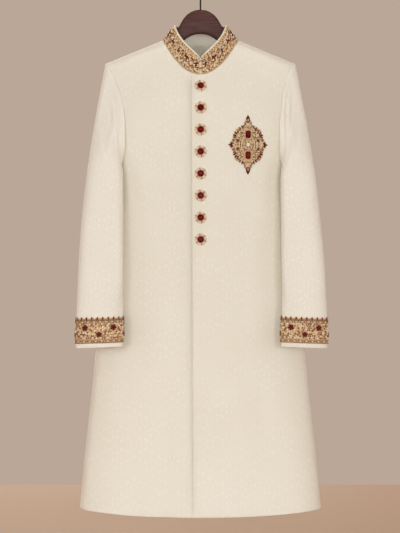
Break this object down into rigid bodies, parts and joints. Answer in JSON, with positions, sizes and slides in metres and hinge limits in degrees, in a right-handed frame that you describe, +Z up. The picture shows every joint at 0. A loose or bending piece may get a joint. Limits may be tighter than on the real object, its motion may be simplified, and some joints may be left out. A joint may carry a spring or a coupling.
{
  "type": "sherwani coat on hanger",
  "caption": "Knee-length ivory coat with a stand collar, long sleeves, embroidered cuffs, jewelled front closure and chest patch, hung on a dark wooden hanger with a wire hook.",
  "frame": {"origin": "underside of the top of the hanger's hook, where it rests on a rail", "axes": "+Z up, -Y toward the viewer of the coat's front, +X toward the wearer's left"},
  "size_m": [0.5829, 0.199, 1.2614],
  "materials": {
    "ivory_brocade": "soft sheen woven brocade",
    "gold_embroidery": "metal-thread and silk embroidery",
    "cream_piping": "satin cord",
    "antique_gold": "antique gold",
    "ruby_glass": "polished",
    "pearl": "pearl lustre",
    "dark_wood": "satin lacquer",
    "dark_metal": "dark"
  },
  "bodies": {
    "root": {"front_left": "ivory_brocade", "front_right": "ivory_brocade", "back_left": "ivory_brocade", "back_right": "ivory_brocade", "sleeve_left": "ivory_brocade", "sleeve_right": "ivory_brocade", "cuff_band_left": "gold_embroidery", "cuff_band_right": "gold_embroidery", "collar": "gold_embroidery", "medallion": "gold_embroidery", "collar_piping": "cream_piping", "button_1_setting": "antique_gold", "button_1_stone": "ruby_glass", "button_2_setting": "antique_gold", "button_2_stone": "ruby_glass", "button_3_setting": "antique_gold", "button_3_stone": "ruby_glass", "button_4_setting": "antique_gold", "button_4_stone": "ruby_glass", "button_5_setting": "antique_gold", "button_5_stone": "ruby_glass", "button_6_setting": "antique_gold", "button_6_stone": "ruby_glass", "button_7_setting": "antique_gold", "button_7_stone": "ruby_glass", "button_8_setting": "antique_gold", "button_8_stone": "ruby_glass", "medallion_stone_top": "ruby_glass", "medallion_stone_bottom": "ruby_glass", "medallion_pearl": "pearl", "hanger": "dark_wood", "hanger_hook": "dark_metal"}
  },
  "joints": []
}
